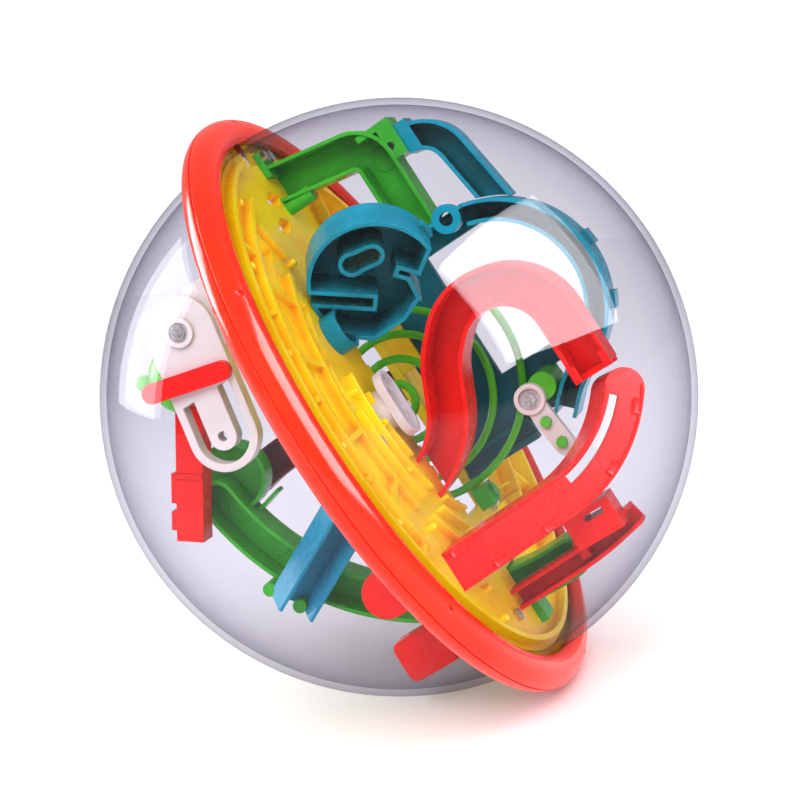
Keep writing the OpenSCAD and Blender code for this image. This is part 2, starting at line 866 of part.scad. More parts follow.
// Dark red chute behind the half ring
module red_chute() {
    color("firebrick") posed() hang_from_deck()
        translate([-3 * grow, 24, 2]) upright() rotate([0, 0, -92])
            run(44, track_w - 1, shallow) left(70, 16, track_w - 1, shallow);
}

module red_foot() {
    color(ruby) posed() under_deck(44, -42) rotate([90, 0, 0]) translate([0, 0, 0])
        linear_extrude(8) {
            translate([-7, -18 * grow]) square([14, 18 * grow]);
            translate([0, -18 * grow]) circle(r = 7);
        }
}

module red_tab() {
    corner = 2.5;
    w = 13;
    h = 34 * grow;
    color(ruby) posed() under_deck(66.6, -20) rotate([90, 0, 0]) difference() {
        linear_extrude(7) {
            translate([-w / 2, -h + corner]) square([w, h - corner]);
            translate([-w / 2 + corner, -h]) square([w - 2 * corner, corner + 1]);
            for (x = [-w / 2 + corner, w / 2 - corner])
                translate([x, -h + corner]) circle(r = corner);
        }
        translate([-w / 2 - 1, -h * 0.55, 6.2]) cube([w + 2, 1, 2]);
    }
}

upper_shell();
lower_shell();
ring_upper();
ring_lower();
ring_screws();
centre_deck();
deck_screws();
centre_cup();
green_spiral();
spiral_foot();
teal_backboard();
teal_hood();
teal_arch();
green_gate();
gate_screws();
teal_s_track();
red_c_track();
red_slide();
red_rail();
green_bracket();
white_link_arm();
link_screw();
green_half_ring();
steel_ball();
teal_bridge();
white_hairpin_track();
hairpin_screw();
red_cross_bar();
red_pillar();
green_bowl();
red_chute();
red_foot();
red_tab();
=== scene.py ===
"""Maze ball on a table: a clear sphere with a raised red rim, a yellow deck and coloured ball tracks.

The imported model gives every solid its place. This script dresses the solids in moulded plastic and
steel, adds the pieces that are better made by hand, and sets the floor, lights and camera.
"""

import logging
import math
from dataclasses import dataclass, field
from enum import Enum
from typing import Any, Iterable, Sequence

import bpy
from mathutils import Matrix, Vector


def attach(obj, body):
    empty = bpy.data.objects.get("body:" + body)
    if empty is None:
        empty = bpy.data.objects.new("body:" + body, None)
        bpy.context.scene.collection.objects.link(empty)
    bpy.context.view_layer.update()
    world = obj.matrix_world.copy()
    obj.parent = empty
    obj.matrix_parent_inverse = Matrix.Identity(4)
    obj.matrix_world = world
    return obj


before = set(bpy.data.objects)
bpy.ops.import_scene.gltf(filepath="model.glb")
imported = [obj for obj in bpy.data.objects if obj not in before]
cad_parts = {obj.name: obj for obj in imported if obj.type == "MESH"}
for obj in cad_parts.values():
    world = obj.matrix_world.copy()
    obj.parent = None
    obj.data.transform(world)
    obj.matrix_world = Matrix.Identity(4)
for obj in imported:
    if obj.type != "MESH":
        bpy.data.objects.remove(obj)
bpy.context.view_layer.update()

LOG = logging.getLogger("maze_ball")

Triple = tuple[float, float, float]
Colour = Triple

SPHERE_R = 0.089
RIM_R = 0.093
RIM_TUBE_R = 0.0054
TILT = math.asin((SPHERE_R - RIM_TUBE_R) / RIM_R)
CENTRE = Vector((0.0, 0.0, SPHERE_R))


class Body(Enum):
    """The bodies that a piece can ride on."""

    MAZE = "maze"
    BALL = "ball"


def sphere_frame() -> Matrix:
    """The place of the sphere's own axes: Z along the rim's axis, the origin in the sphere's middle.

    Returns:
        The matrix that takes a point of the level sphere to its place on the table.
    """
    return Matrix.Translation(CENTRE) @ Matrix.Rotation(TILT, 4, "Y")


# ---------------------------------------------------------------- node trees


class NodeBench:
    """One material's node tree, with short names for the nodes that the finishes share."""

    def __init__(self, name: str) -> None:
        """Starts an empty tree.

        Args:
            name: the material's name.
        """
        self.material = bpy.data.materials.new(f"{name}_finish")
        self.material.use_nodes = True
        self.tree = self.material.node_tree
        self.tree.nodes.clear()
        self.output = self.tree.nodes.new("ShaderNodeOutputMaterial")
        self.place = self.add("ShaderNodeTexCoord").outputs["Object"]

    def add(self, kind: str, **settings: Any) -> bpy.types.Node:
        """Adds a node.

        Args:
            kind: the node's type name.
            settings: properties to set on the node.

        Returns:
            The new node.
        """
        node = self.tree.nodes.new(kind)
        for key, value in settings.items():
            setattr(node, key, value)
        return node

    def feed(self, socket: bpy.types.NodeSocket, value: Any) -> None:
        """Sets a socket to a plain value, or links it where the value is another socket.

        Args:
            socket: the socket to feed.
            value: a number, a colour, a vector or an output socket.
        """
        if isinstance(value, bpy.types.NodeSocket):
            self.tree.links.new(value, socket)
        else:
            socket.default_value = value

    def noise(self, scale: float, detail: float = 3.0, stretch: Triple = (1, 1, 1),
              turn: Triple = (0, 0, 0)) -> bpy.types.NodeSocket:
        """Noise over the piece's own place.

        Args:
            scale: the noise's scale, in waves a metre.
            detail: its detail.
            stretch: how much it is squeezed along each axis.
            turn: how the pattern is turned, in radians.

        Returns:
            The noise's value.
        """
        where = self.add("ShaderNodeMapping")
        self.feed(where.inputs["Vector"], self.place)
        where.inputs["Scale"].default_value = stretch
        where.inputs["Rotation"].default_value = turn
        node = self.add("ShaderNodeTexNoise")
        self.feed(node.inputs["Vector"], where.outputs["Vector"])
        node.inputs["Scale"].default_value = scale
        node.inputs["Detail"].default_value = detail
        return node.outputs["Fac"]

    def span(self, value: bpy.types.NodeSocket, low: float, high: float, to_low: float = 0.0,
             to_high: float = 1.0) -> bpy.types.NodeSocket:
        """Maps a value's range onto another.

        Args:
            value: the value to map.
            low: where the range starts.
            high: where it ends.
            to_low: what the start becomes.
            to_high: what the end becomes.

        Returns:
            The mapped value, held inside the new range.
        """
        node = self.add("ShaderNodeMapRange")
        self.feed(node.inputs["Value"], value)
        for name, number in (("From Min", low), ("From Max", high), ("To Min", to_low), ("To Max", to_high)):
            node.inputs[name].default_value = number
        return node.outputs["Result"]

    def maths(self, kind: str, first: Any, second: Any = 0.0) -> bpy.types.NodeSocket:
        """One step of arithmetic.

        Args:
            kind: the operation's name.
            first: its first value.
            second: its second value.

        Returns:
            The result.
        """
        node = self.add("ShaderNodeMath", operation=kind)
        self.feed(node.inputs[0], first)
        self.feed(node.inputs[1], second)
        return node.outputs[0]

    def blend(self, share: Any, first: Any, second: Any) -> bpy.types.NodeSocket:
        """Mixes two colours.

        Args:
            share: how much of the second, from 0 to 1.
            first: a colour or a socket.
            second: a colour or a socket.

        Returns:
            The mixed colour.
        """
        node = self.add("ShaderNodeMix", data_type="RGBA")
        self.feed(node.inputs["Factor"], share)
        for name, value in (("A", first), ("B", second)):
            socket = [s for s in node.inputs if s.name == name and s.type == "RGBA"][0]
            self.feed(socket, value if isinstance(value, bpy.types.NodeSocket) else (*value, 1.0))
        return [s for s in node.outputs if s.type == "RGBA"][0]

    def close(self, shader: bpy.types.Node) -> bpy.types.Material:
        """Joins the shader to the output.

        Args:
            shader: the last shader node.

        Returns:
            The finished material.
        """
        self.feed(self.output.inputs["Surface"], shader.outputs[0])
        return self.material


@dataclass(frozen=True)
class MouldedPlastic:
    """Glossy injection-moulded plastic with flow marks, soft edges, light handling marks, a painted highlight
    on its edges and painted shade in its hollows.
    """

    name: str
    colour: Colour
    shade: Colour
    roughness: float = 0.22
    ripple: float = 0.12
    edge_radius: float = 0.0004
    glow: float = 0.0
    specular: float = 0.15
    coat: float = 0.04
    # Painted shade: an ambient-occlusion mask darkens hollows, creases and corners towards this colour.
    painted_shade: Colour | None = None
    painted_shade_reach: float = 0.005
    painted_shade_share: float = 0.7
    cloud_scale: float = 55.0
    flow_scale: float = 34.0
    grain_scale: float = 2600.0
    grain_share: float = 0.15
    scuff_scale: float = 420.0
    scuff_rise: float = 0.16
    # How strongly the edges take the painted highlight.
    edge_highlight: float = 0.4
    flow_stretch: Triple = (1.0, 1.0, 7.0)
    flow_turn: Triple = (0.4, 0.9, 0.2)
    scuff_stretch: Triple = (1.0, 5.0, 1.0)
    scuff_turn: Triple = (0.7, 0.1, 1.1)
    edge_highlight_gain: float = 1.3
    edge_highlight_lift: float = 0.02
    painted_shade_dim: float = 0.62
    cloud_rise: float = 0.06
    ior: float = 1.5
    coat_roughness: float = 0.08
    bump_depth: float = 0.0004
    glow_reach: Triple = (1.0, 0.9, 0.8)
    glow_depth: float = 0.002

    def build(self) -> bpy.types.Material:
        """Makes the material.

        Returns:
            The plastic's material.
        """
        bench = NodeBench(self.name)
        cloud = bench.noise(self.cloud_scale, 4.0)
        flow = bench.noise(self.flow_scale, 2.0, stretch=self.flow_stretch, turn=self.flow_turn)
        grain = bench.noise(self.grain_scale, 2.0)
        scuff = bench.noise(self.scuff_scale, 5.0, stretch=self.scuff_stretch, turn=self.scuff_turn)
        mottled = bench.blend(bench.span(cloud, 0.35, 0.7), self.colour, self.shade)
        streaked = bench.blend(bench.span(flow, 0.55, 0.75, 0.0, 0.3), mottled, self.shade)
        soft = bench.add("ShaderNodeBevel", samples=4)
        soft.inputs["Radius"].default_value = self.edge_radius
        flat = bench.add("ShaderNodeNewGeometry").outputs["Normal"]
        turned = bench.add("ShaderNodeVectorMath", operation="DOT_PRODUCT")
        bench.feed(turned.inputs[0], soft.outputs[0])
        bench.feed(turned.inputs[1], flat)
        # Painted highlight: the edges are lightened where the rounded-edge normal turns away from the face,
        # as if they caught the light.
        edge = bench.span(turned.outputs["Value"], 0.97, 0.75, 0.0, self.edge_highlight)
        highlighted_edge_colour = tuple(min(1.0, channel * self.edge_highlight_gain + self.edge_highlight_lift) for channel in self.colour)
        # Painted shade: the ambient-occlusion mask blends the colour towards a darker tone in hollows and
        # corners, where shade falls.
        painted_shade = bench.add("ShaderNodeAmbientOcclusion", samples=4, only_local=True)
        painted_shade.inputs["Distance"].default_value = self.painted_shade_reach
        painted_shade_tone = self.painted_shade or tuple(channel * self.painted_shade_dim for channel in self.shade)
        painted_shade_mask = bench.span(painted_shade.outputs["AO"], 0.3, 0.92, self.painted_shade_share, 0.0)
        base = bench.blend(edge, bench.blend(painted_shade_mask, streaked, painted_shade_tone), highlighted_edge_colour)
        shader = bench.add("ShaderNodeBsdfPrincipled")
        bench.feed(shader.inputs["Base Color"], base)
        rough = bench.maths("ADD", bench.span(scuff, 0.5, 0.72, 0.0, self.scuff_rise),
                            bench.span(cloud, 0.3, 0.7, self.roughness, self.roughness + self.cloud_rise))
        bench.feed(shader.inputs["Roughness"], rough)
        shader.inputs["IOR"].default_value = self.ior
        shader.inputs["Specular IOR Level"].default_value = self.specular
        shader.inputs["Coat Weight"].default_value = self.coat
        shader.inputs["Coat Roughness"].default_value = self.coat_roughness
        bump = bench.add("ShaderNodeBump")
        bump.inputs["Strength"].default_value = self.ripple
        bump.inputs["Distance"].default_value = self.bump_depth
        fine = bench.maths("MULTIPLY", grain, self.grain_share)
        bench.feed(bump.inputs["Height"], bench.maths("ADD", flow, fine))
        bench.feed(bump.inputs["Normal"], soft.outputs[0])
        bench.feed(shader.inputs["Normal"], bump.outputs["Normal"])
        if self.glow:
            shader.inputs["Subsurface Weight"].default_value = self.glow
            shader.inputs["Subsurface Radius"].default_value = self.glow_reach
            shader.inputs["Subsurface Scale"].default_value = self.glow_depth
        return bench.close(shader)


@dataclass(frozen=True)
class ClearPlastic:
    """Clear glossy plastic: it shows what is behind it, tinted, and mirrors the room at its limb."""

    name: str
    tint: Colour
    limb: Colour
    gloss: float = 0.013
    limb_gloss: float = 0.18
    haze: float = 0.985
    haze_scale: float = 26.0
    limb_power: float = 4.5
    gloss_power: float = 6.0
    mirror_colour: Colour = (0.92, 0.91, 0.95)
    smear_scale: float = 190.0
    smear_stretch: Triple = (1.0, 3.0, 1.0)
    smear_range: tuple[float, float] = (0.015, 0.05)

    def build(self) -> bpy.types.Material:
        """Makes the material.

        Returns:
            The clear plastic's material.
        """
        bench = NodeBench(self.name)
        facing = bench.add("ShaderNodeLayerWeight")
        facing.inputs["Blend"].default_value = 0.5
        slant = facing.outputs["Facing"]
        haze = bench.span(bench.noise(self.haze_scale, 3.0), 0.3, 0.75)
        steep = bench.maths("POWER", slant, self.limb_power)
        hazy = tuple(channel * self.haze for channel in self.tint)
        tint = bench.blend(steep, bench.blend(haze, self.tint, hazy), self.limb)
        clear = bench.add("ShaderNodeBsdfTransparent")
        bench.feed(clear.inputs["Color"], tint)
        mirror = bench.add("ShaderNodeBsdfPrincipled")
        mirror.inputs["Base Color"].default_value = (*self.mirror_colour, 1.0)
        mirror.inputs["Metallic"].default_value = 1.0
        smear = bench.noise(self.smear_scale, 4.0, stretch=self.smear_stretch)
        bench.feed(mirror.inputs["Roughness"], bench.span(smear, 0.45, 0.75, *self.smear_range))
        rise = bench.maths("MULTIPLY", bench.maths("POWER", slant, self.gloss_power), self.limb_gloss)
        share = bench.maths("ADD", self.gloss, rise)
        both = bench.add("ShaderNodeMixShader")
        bench.feed(both.inputs[0], share)
        bench.feed(both.inputs[1], clear.outputs[0])
        bench.feed(both.inputs[2], mirror.outputs[0])
        lit = bench.add("ShaderNodeMixShader")
        bench.feed(lit.inputs[0], bench.add("ShaderNodeLightPath").outputs["Is Shadow Ray"])
        bench.feed(lit.inputs[1], both.outputs[0])
        bench.feed(lit.inputs[2], bench.add("ShaderNodeBsdfTransparent").outputs[0])
        return bench.close(lit)


@dataclass(frozen=True)
class Steel:
    """Bare steel, polished or brushed, with fine scratches and faint stains."""

    name: str
    colour: Colour
    roughness: float
    scratch: float = 0.1
    stain_scale: float = 140.0
    stain_dim: float = 0.72
    brush_scale: float = 900.0
    brush_stretch: Triple = (1.0, 9.0, 1.0)
    brush_turn: Triple = (0.3, 0.5, 0.8)
    brush_rise: float = 0.18
    scratch_depth: float = 0.0001

    def build(self) -> bpy.types.Material:
        """Makes the material.

        Returns:
            The steel's material.
        """
        bench = NodeBench(self.name)
        shader = bench.add("ShaderNodeBsdfPrincipled")
        stain = bench.span(bench.noise(self.stain_scale, 4.0), 0.4, 0.7)
        dark = tuple(channel * self.stain_dim for channel in self.colour)
        bench.feed(shader.inputs["Base Color"], bench.blend(stain, self.colour, dark))
        shader.inputs["Metallic"].default_value = 1.0
        line = bench.noise(self.brush_scale, 3.0, stretch=self.brush_stretch, turn=self.brush_turn)
        bench.feed(shader.inputs["Roughness"],
                   bench.span(line, 0.35, 0.7, self.roughness, self.roughness + self.brush_rise))
        bump = bench.add("ShaderNodeBump")
        bump.inputs["Strength"].default_value = self.scratch
        bump.inputs["Distance"].default_value = self.scratch_depth
        bench.feed(bump.inputs["Height"], line)
        bench.feed(shader.inputs["Normal"], bump.outputs["Normal"])
        return bench.close(shader)


class Paint(Enum):
    """The finishes of the maze ball."""

    SHELL = ClearPlastic("clear_shell", (0.9, 0.893, 0.928), (0.5, 0.49, 0.56))
    RIM = MouldedPlastic("rim_red", (0.92, 0.022, 0.004), (0.86, 0.014, 0.003), 0.12, 0.02, specular=0.18,
                         coat=0.14)
    # The deck's darker orange in its recesses is painted shade.
    DECK = MouldedPlastic("deck_yellow", (1.0, 0.77, 0.006), (1.0, 0.57, 0.004), 0.2, 0.06,
                          painted_shade=(0.86, 0.27, 0.002), painted_shade_reach=0.004, painted_shade_share=0.95)
    RUBY = MouldedPlastic("ruby_red", (0.9, 0.007, 0.004), (0.72, 0.005, 0.003), 0.2, 0.06)
    DARK_RED = MouldedPlastic("dark_red", (0.2, 0.012, 0.016), (0.12, 0.008, 0.01), 0.3)
    LEAF = MouldedPlastic("leaf_green", (0.1, 0.56, 0.016), (0.06, 0.4, 0.012), 0.2, 0.06)
    DEEP_GREEN = MouldedPlastic("deep_green", (0.05, 0.46, 0.03), (0.03, 0.3, 0.02), 0.2, 0.06)
    # The teal's dark green on its channel floors is painted shade.
    SEA = MouldedPlastic("sea_teal", (0.006, 0.31, 0.43), (0.004, 0.2, 0.27), 0.2, 0.06,
                         painted_shade=(0.002, 0.045, 0.035), painted_shade_reach=0.012, painted_shade_share=0.95)
    # A darker copy of the sea teal with painted shade: the backboard stands in shade behind the spiral,
    # inside the hood.
    DEEP_TEAL = MouldedPlastic("deep_teal", (0.005, 0.13, 0.17), (0.003, 0.08, 0.11), 0.26, 0.06)
    SKY = MouldedPlastic("sky_blue", (0.02, 0.35, 0.56), (0.012, 0.25, 0.42), 0.2, 0.06)
    # The pink in this white is painted light: it stands in for red light that shows through from the red
    # parts behind.
    MILK = MouldedPlastic("milk_white", (0.72, 0.67, 0.67), (0.64, 0.58, 0.58), 0.24, 0.08, glow=0.2)
    SCREW = Steel("screw_steel", (0.62, 0.6, 0.56), 0.22, 0.25)
    BALL = Steel("ball_steel", (0.78, 0.78, 0.8), 0.05, 0.03)

    @property
    def material(self) -> bpy.types.Material:
        """The finish's one material, made when it is first asked for."""
        return bpy.data.materials.get(f"{self.value.name}_finish") or self.value.build()


def dress(piece: bpy.types.Object, paint: Paint) -> None:
    """Gives a piece one finish all over.

    Args:
        piece: the object to dress.
        paint: its finish.
    """
    if piece.data.materials:
        for slot in piece.material_slots:
            slot.material = paint.material
    else:
        piece.data.materials.append(paint.material)


# ---------------------------------------------------------------- sub-assemblies


@dataclass
class Assembly:
    """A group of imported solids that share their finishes."""

    paints: dict[str, Paint] = field(default_factory=dict)

    def dress_nodes(self) -> None:
        """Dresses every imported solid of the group."""
        for name, paint in self.paints.items():
            dress(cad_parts[name], paint)
            LOG.info("dressed %s in %s", name, paint.value.name)

    def build(self) -> None:
        """Builds the group: its solids' finishes, then its own pieces."""
        self.dress_nodes()


class Bench:
    """The hand tools: small solids started from primitives, shaped in edit mode and set in place."""

    sharp = math.radians(35)
    doubles = 0.00001
    facing_up = 0.99

    @staticmethod
    def clear() -> None:
        """Deselects everything, so that a tool only touches the new piece."""
        bpy.ops.object.select_all(action="DESELECT")

    @staticmethod
    def profile(left: float, width: float, low: float, height: float, along: float = 0.0) -> bpy.types.Object:
        """Starts a piece as an upright rectangle that the bending and drawing tools sweep.

        Args:
            left: where its nearer side stands, in metres.
            width: its width.
            low: the height of its lower side.
            height: how tall it is.
            along: where it stands along Y.

        Returns:
            The rectangle's object.
        """
        Bench.clear()
        bpy.ops.mesh.primitive_plane_add(size=1.0, location=(left + width / 2, along, low + height / 2),
                                         rotation=(math.radians(90), 0, 0))
        piece = bpy.context.active_object
        piece.scale = (width, height, 1.0)
        bpy.ops.object.transform_apply(location=True, rotation=True, scale=True)
        return piece

    @staticmethod
    def bend(piece: bpy.types.Object, centre: Triple, angle: float, steps: int) -> None:
        """Sweeps the selected end of a piece round an upright axis.

        Args:
            piece: the piece in hand.
            centre: a point on the axis.
            angle: how far it turns, in degrees.
            steps: how many facets the bend gets.
        """
        bpy.context.view_layer.objects.active = piece
        bpy.ops.object.mode_set(mode="EDIT")
        bpy.ops.mesh.spin(steps=steps, angle=-math.radians(angle), center=centre, axis=(0, 0, 1))
        bpy.ops.object.mode_set(mode="OBJECT")

    @staticmethod
    def finish(piece: bpy.types.Object, round_off: float) -> None:
        """Merges doubles, turns the faces outwards and softens the sharp edges.

        Args:
            piece: the piece in hand.
            round_off: the width of the softened edge, in metres.
        """
        Bench.clear()
        piece.select_set(True)
        bpy.context.view_layer.objects.active = piece
        bpy.ops.object.mode_set(mode="EDIT")
        bpy.ops.mesh.select_all(action="SELECT")
        bpy.ops.mesh.remove_doubles(threshold=Bench.doubles)
        bpy.ops.mesh.normals_make_consistent(inside=False)
        bpy.ops.object.mode_set(mode="OBJECT")
        soft = piece.modifiers.new("soft_edges", "BEVEL")
        soft.width = round_off
        soft.segments = 2
        soft.limit_method = "ANGLE"
        soft.angle_limit = Bench.sharp
        bpy.ops.object.modifier_apply(modifier=soft.name)
        bpy.ops.object.shade_smooth_by_angle(angle=Bench.sharp)

    @staticmethod
    def place(piece: bpy.types.Object, where: Matrix) -> None:
        """Moves a piece and keeps the move in its mesh.

        Args:
            piece: the piece in hand.
            where: the matrix that takes it to its place.
        """
        Bench.clear()
        piece.select_set(True)
        bpy.context.view_layer.objects.active = piece
        piece.matrix_world = where @ piece.matrix_world
        bpy.ops.object.transform_apply(location=True, rotation=True, scale=True)

    @staticmethod
    def copy(piece: bpy.types.Object, where: Matrix) -> bpy.types.Object:
        """Copies a piece with a mesh of its own.

        Args:
            piece: the piece to copy.
            where: the matrix that takes the copy to its place.

        Returns:
            The copy.
        """
        twin = piece.copy()
        twin.data = piece.data.copy()
        bpy.context.scene.collection.objects.link(twin)
        Bench.place(twin, where)
        return twin

    @staticmethod
    def join(name: str, pieces: Sequence[bpy.types.Object], paint: Paint, body: Body) -> bpy.types.Object:
        """Joins pieces into one, dresses it and lets it ride.

        Args:
            name: the joined piece's name.
            pieces: the pieces to join.
            paint: its finish.
            body: the body that it rides on.

        Returns:
            The joined piece.
        """
        Bench.clear()
        for piece in pieces:
            piece.select_set(True)
        bpy.context.view_layer.objects.active = pieces[0]
        bpy.ops.object.join()
        whole = bpy.context.active_object
        whole.name = whole.data.name = name
        dress(whole, paint)
        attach(whole, body.value)
        LOG.info("made %s with %d faces", name, len(whole.data.polygons))
        return whole

    @staticmethod
    def pick_top(piece: bpy.types.Object) -> None:
        """Selects only the faces that look straight up, and opens the piece for shaping.

        Args:
            piece: the piece in hand.
        """
        bpy.context.view_layer.objects.active = piece
        bpy.ops.object.mode_set(mode="EDIT")
        bpy.ops.mesh.select_all(action="DESELECT")
        bpy.ops.object.mode_set(mode="OBJECT")
        for face in piece.data.polygons:
            face.select = face.normal.z > Bench.facing_up
        bpy.ops.object.mode_set(mode="EDIT")
        bpy.ops.mesh.select_mode(type="FACE")


@dataclass
class SphereAndRim(Assembly):
    """The clear sphere and the red rim with its screws."""

    paints: dict[str, Paint] = field(default_factory=lambda: {
        "upper_shell": Paint.SHELL, "lower_shell": Paint.SHELL, "ring_upper": Paint.RIM,
        "ring_lower": Paint.RIM, "ring_screws": Paint.SCREW})


@dataclass
class Deck(Assembly):
    """The yellow deck, its screws and the cup on it."""

    paints: dict[str, Paint] = field(default_factory=lambda: {
        "centre_deck": Paint.DECK, "deck_screws": Paint.SCREW, "centre_cup": Paint.MILK})
    top: float = 0.0015
    bite: float = 0.0003
    wall: float = 0.0014
    low_walls: tuple[tuple[float, float, float, float], ...] = (
        (0.0500, -93, -58, 0.0026), (0.0405, -108, -50, 0.0022), (0.0330, -100, -62, 0.0018),
        (0.0560, -55, -40, 0.0024), (0.0480, -48, -30, 0.0030), (0.0400, -40, -22, 0.0024))
    pegs: tuple[tuple[float, float], ...] = (
        (0.0800, -150), (0.0800, -129), (0.0800, -108), (0.0800, -88), (0.0800, -70), (0.0455, -100),
        (0.0455, -66), (0.0370, -84), (0.0620, -56), (0.0790, -31), (0.0700, -34), (0.0560, -150))
    facet: float = 2.5
    wall_round: float = 0.00035
    peg_r: float = 0.0011
    peg_h: float = 0.0022
    peg_round: float = 0.0002
    peg_facets: int = 24
    peg_dome: tuple[tuple[float, float], ...] = ((0.35, 0.3), (0.35, 0.12))

    def add_low_walls(self) -> None:
        """Makes the low curved walls that guide the ball over the deck's near half."""
        walls = []
        for radius, start, end, height in self.low_walls:
            piece = Bench.profile(radius, self.wall, self.top - self.bite, height + self.bite)
            Bench.place(piece, Matrix.Rotation(math.radians(start), 4, "Z"))
            bpy.ops.object.mode_set(mode="EDIT")
            bpy.ops.mesh.select_all(action="SELECT")
            bpy.ops.object.mode_set(mode="OBJECT")
            Bench.bend(piece, (0, 0, 0), end - start, max(6, round((end - start) / self.facet)))
            Bench.finish(piece, self.wall_round)
            Bench.place(piece, sphere_frame())
            walls.append(piece)
        Bench.join("deck_low_walls", walls, Paint.DECK, Body.MAZE)

    def add_pegs(self) -> None:
        """Makes the domed pegs that stand on the deck between its walls."""
        Bench.clear()
        bpy.ops.mesh.primitive_cylinder_add(
            vertices=self.peg_facets, radius=self.peg_r, depth=self.peg_h + self.bite,
            location=(0, 0, self.top + (self.peg_h - self.bite) / 2))
        first = bpy.context.active_object
        bpy.ops.object.transform_apply(location=True, rotation=True, scale=True)
        Bench.pick_top(first)
        for inset, rise in self.peg_dome:
            bpy.ops.mesh.inset(thickness=self.peg_r * inset)
            bpy.ops.transform.translate(value=(0, 0, self.peg_r * rise))
        bpy.ops.object.mode_set(mode="OBJECT")
        Bench.finish(first, self.peg_round)
        pegs = [Bench.copy(first, sphere_frame() @ Matrix.Rotation(math.radians(angle), 4, "Z")
                           @ Matrix.Translation((radius, 0, 0))) for radius, angle in self.pegs]
        bpy.data.objects.remove(first)
        Bench.join("deck_pegs", pegs, Paint.DECK, Body.MAZE)

    def build(self) -> None:
        """Dresses the deck's solids and adds its low walls and pegs."""
        self.dress_nodes()
        self.add_low_walls()
        self.add_pegs()


@dataclass
class UpperTracks(Assembly):
    """The tracks that stand on the deck."""

    paints: dict[str, Paint] = field(default_factory=lambda: {
        "green_spiral": Paint.LEAF, "spiral_foot": Paint.DEEP_GREEN, "teal_backboard": Paint.DEEP_TEAL,
        "teal_hood": Paint.SEA, "teal_arch": Paint.SEA, "green_gate": Paint.DEEP_GREEN,
        "gate_screws": Paint.SCREW, "teal_s_track": Paint.SEA, "red_c_track": Paint.RUBY,
        "red_slide": Paint.RUBY, "red_rail": Paint.RUBY, "green_bracket": Paint.LEAF,
        "white_link_arm": Paint.MILK, "link_screw": Paint.SCREW})
    slide_low: Triple = (0.0, -0.0533, 0.0026)
    slide_lean: float = 31.0
    slide_left: float = 0.0420
    slide_right: float = 0.0539
    slide_start: float = -0.0010
    slide_bend_at: float = 0.0365
    slide_bend_x: float = 0.0065
    slide_bend: float = 54.0
    lip_w: float = 0.0010
    lip_h: float = 0.0009
    lip_round: float = 0.0003
    lip_facets: int = 22
    bite: float = 0.0004
    lug_size: Triple = (0.0024, 0.0046, 0.0020)
    lugs: tuple[tuple[float, float], ...] = ((0.0435, 0.0030), (0.0524, 0.0120), (0.0524, 0.0290))
    lug_round: float = 0.00025
    lug_inset: float = 0.22
    lug_dip: float = 0.2
    lug_margin: float = 0.7
    bend_lugs: tuple[float, ...] = (22.0, 46.0)

    def slide_face(self) -> Matrix:
        """The place of the slide's broad face: X across it, Y up along it, Z out of it.

        Returns:
            The matrix from the face's own plane to the table.
        """
        tip = Matrix.Rotation(math.radians(90 - self.slide_lean), 4, "X")
        return sphere_frame() @ Matrix.Translation(self.slide_low) @ tip

    def add_slide_lips(self) -> None:
        """Makes the two raised lips that run along the slide's edges and round its bend."""
        lips = []
        centre = (self.slide_bend_x, self.slide_bend_at, 0.0)
        for left in (self.slide_left, self.slide_right - self.lip_w):
            lip = Bench.profile(left, self.lip_w, -self.bite, self.lip_h + self.bite, self.slide_start)
            bpy.ops.object.mode_set(mode="EDIT")
            bpy.ops.mesh.select_all(action="SELECT")
            bpy.ops.mesh.extrude_region_move(
                TRANSFORM_OT_translate={"value": (0, self.slide_bend_at - self.slide_start, 0)})
            bpy.ops.object.mode_set(mode="OBJECT")
            Bench.bend(lip, centre, self.slide_bend, self.lip_facets)
            Bench.finish(lip, self.lip_round)
            Bench.place(lip, self.slide_face())
            lips.append(lip)
        Bench.join("slide_lips", lips, Paint.RUBY, Body.MAZE)

    def add_slide_lugs(self) -> None:
        """Makes the small clip lugs on the slide's face."""
        Bench.clear()
        wide, tall, thick = self.lug_size
        bpy.ops.mesh.primitive_cube_add(size=1.0, location=(0, 0, thick / 2 - self.bite))
        first = bpy.context.active_object
        first.scale = (wide, tall, thick)
        bpy.ops.object.transform_apply(location=True, rotation=True, scale=True)
        Bench.pick_top(first)
        bpy.ops.mesh.inset(thickness=wide * self.lug_inset)
        bpy.ops.transform.translate(value=(0, 0, -thick * self.lug_dip))
        bpy.ops.object.mode_set(mode="OBJECT")
        Bench.finish(first, self.lug_round)
        spots = [Matrix.Translation((across, along, 0)) for across, along in self.lugs]
        reach = self.slide_right - self.slide_bend_x - wide * self.lug_margin
        spots += [Matrix.Translation((self.slide_bend_x, self.slide_bend_at, 0))
                  @ Matrix.Rotation(math.radians(angle), 4, "Z") @ Matrix.Translation((reach, 0, 0))
                  for angle in self.bend_lugs]
        lugs = [Bench.copy(first, self.slide_face() @ spot) for spot in spots]
        bpy.data.objects.remove(first)
        Bench.join("slide_lugs", lugs, Paint.RUBY, Body.MAZE)

    def build(self) -> None:
        """Dresses the upper tracks and adds the slide's lips and lugs."""
        self.dress_nodes()
        self.add_slide_lips()
        self.add_slide_lugs()


@dataclass
class LowerTracks(Assembly):
    """The tracks that hang below the deck, and the ball in its lane."""

    paints: dict[str, Paint] = field(default_factory=lambda: {
        "green_half_ring": Paint.DEEP_GREEN, "steel_ball": Paint.BALL, "teal_bridge": Paint.SKY,
        "white_hairpin_track": Paint.MILK, "hairpin_screw": Paint.SCREW, "red_cross_bar": Paint.RUBY,
        "red_pillar": Paint.RUBY, "green_bowl": Paint.LEAF, "red_chute": Paint.DARK_RED,
        "red_foot": Paint.RUBY, "red_tab": Paint.RUBY})


# ---------------------------------------------------------------- studio


@dataclass(frozen=True)
class Softbox:
    """A rectangular light: where it stands from the sphere (right, up, towards the camera) and its power."""

    name: str
    way: Triple
    distance: float
    size: tuple[float, float]
    power: float
    gloss_only: bool = False


